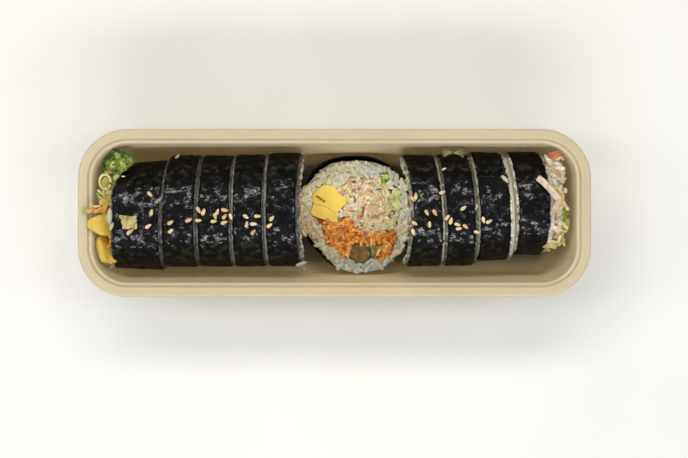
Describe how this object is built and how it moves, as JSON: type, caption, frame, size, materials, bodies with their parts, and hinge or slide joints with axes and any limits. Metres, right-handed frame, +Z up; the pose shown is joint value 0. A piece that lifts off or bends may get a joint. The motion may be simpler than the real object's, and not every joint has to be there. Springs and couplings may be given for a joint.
{
  "type": "gimbap tray",
  "caption": "Long moulded takeaway tray that holds a seaweed and rice roll cut in slices. They stand on edge, and the middle slice lies face up and shows its fillings.",
  "frame": {"origin": "centre of the tray's flat base, on the surface that it stands on", "axes": "+X along the tray towards the group of slices on the right, +Y across it to the far side, +Z up"},
  "size_m": [0.22, 0.072, 0.0501],
  "materials": {
    "tray": "beige moulded polypropylene, satin",
    "nori": "roasted seaweed brushed with oil, wrinkled, with sesame seeds",
    "rice": "steamed short-grain rice, moist",
    "egg": "pan-fried egg strip",
    "pickle": "brined burdock and cucumber",
    "lettuce": "fresh leaf",
    "crab": "shredded crab salad, moist",
    "carrot": "shredded fried carrot",
    "cabbage": "shredded cabbage"
  },
  "bodies": {
    "root": {"tray": "tray", "nori_left_1": "nori", "rice_left_1": "rice", "egg_1_left_1": "egg", "egg_2_left_1": "egg", "carrot_left_1": "carrot", "cabbage_left_1": "cabbage", "lettuce_left_1": "lettuce", "nori_left_2": "nori", "rice_left_2": "rice", "nori_left_3": "nori", "rice_left_3": "rice", "nori_left_4": "nori", "rice_left_4": "rice", "nori_left_5": "nori", "rice_left_5": "rice", "egg_left_5": "egg", "pickle_left_5": "pickle", "crab_left_5": "crab", "carrot_left_5": "carrot", "nori_centre": "nori", "rice_centre": "rice", "egg_1_centre": "egg", "egg_2_centre": "egg", "pickle_1_centre": "pickle", "pickle_2_centre": "pickle", "lettuce_1_centre": "lettuce", "lettuce_2_centre": "lettuce", "crab_centre": "crab", "carrot_1_centre": "carrot", "carrot_2_centre": "carrot", "nori_right_1": "nori", "rice_right_1": "rice", "egg_right_1": "egg", "pickle_right_1": "pickle", "crab_right_1": "crab", "carrot_right_1": "carrot", "nori_right_2": "nori", "rice_right_2": "rice", "nori_right_3": "nori", "rice_right_3": "rice", "nori_right_4": "nori", "rice_right_4": "rice", "crab_right_4": "crab", "lettuce_right_4": "lettuce", "cabbage_right_4": "cabbage", "carrot_right_4": "carrot", "lettuce_scrap_left": "lettuce", "lettuce_scrap_right": "lettuce", "crab_strand": "crab"}
  },
  "joints": []
}
